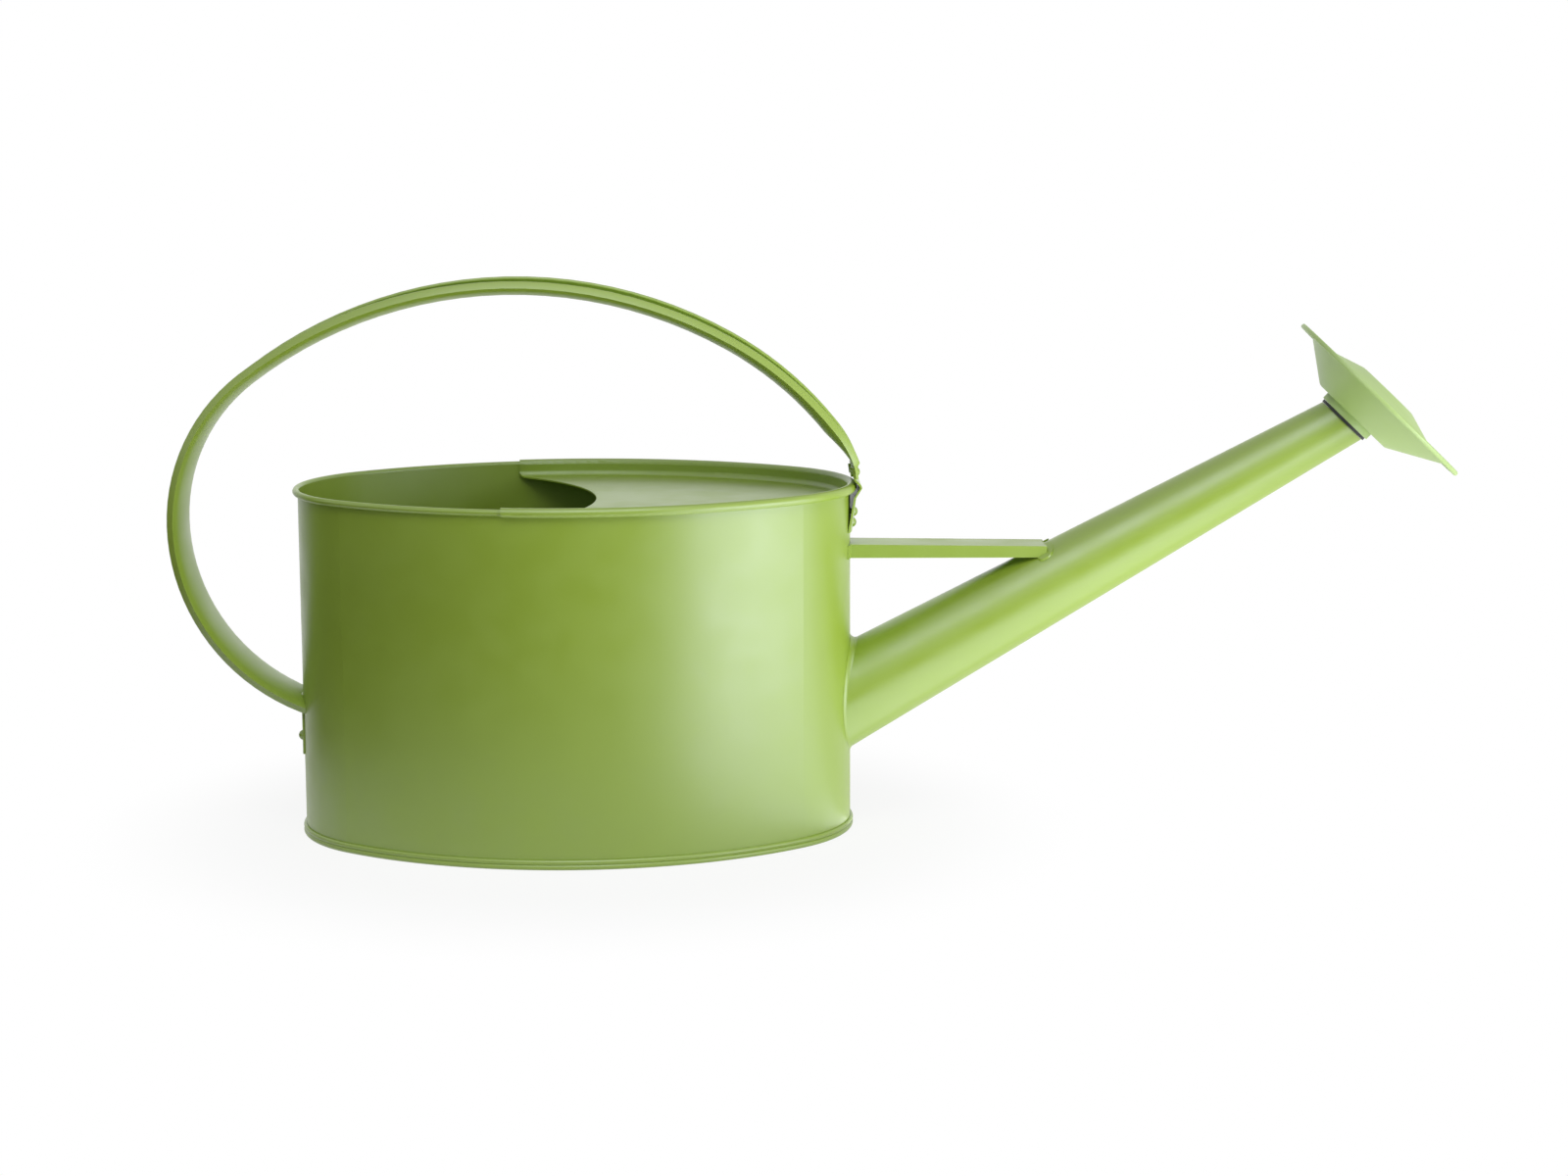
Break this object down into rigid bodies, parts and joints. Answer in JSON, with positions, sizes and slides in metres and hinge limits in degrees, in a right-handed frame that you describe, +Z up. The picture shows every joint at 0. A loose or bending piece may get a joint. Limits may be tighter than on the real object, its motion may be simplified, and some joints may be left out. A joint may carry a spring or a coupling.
{
  "type": "watering can",
  "caption": "Oval sheet-metal watering can with an arched strap handle, a half cover, a braced straight spout and a pull-off turning rose.",
  "frame": {"origin": "middle of the oval base, on the surface that the can stands on", "axes": "+X towards the spout and the rose, +Z up, +Y across the can"},
  "size_m": [0.6636, 0.1974, 0.2857],
  "materials": {
    "green_paint": "satin",
    "rose_paint": "satin",
    "bare_steel": "plain drawn wire",
    "seal_rubber": "matt"
  },
  "bodies": {
    "can": {"body_wall": "green_paint", "rim_wire": "bare_steel", "base_pan": "green_paint", "half_cover": "green_paint", "spout_tube": "green_paint", "spout_solder": "green_paint", "spout_socket": "green_paint", "spout_brace": "green_paint", "handle_strap": "green_paint", "handle_front_bracket": "green_paint", "handle_rear_rivet_1": "green_paint", "handle_rear_rivet_2": "green_paint", "bracket_wall_rivet_1": "green_paint", "bracket_wall_rivet_2": "green_paint", "bracket_strap_rivet_1": "green_paint", "bracket_strap_rivet_2": "green_paint"},
    "rose_ring": {"rose_seal": "seal_rubber"},
    "rose": {"rose_neck": "rose_paint", "rose_back_shell": "rose_paint", "rose_face": "rose_paint"}
  },
  "joints": [
    {"name": "rose_pull", "type": "slide", "parent": "can", "child": "rose_ring", "axis": [0.6882, -0.0645, 0.7227], "range_m": [0, 0.03]},
    {"name": "rose_turn", "type": "hinge", "parent": "rose_ring", "child": "rose", "pos_m": [0.3972, 0, 0.20988], "axis": [0.6882, -0.0645, 0.7227], "continuous": true}
  ]
}
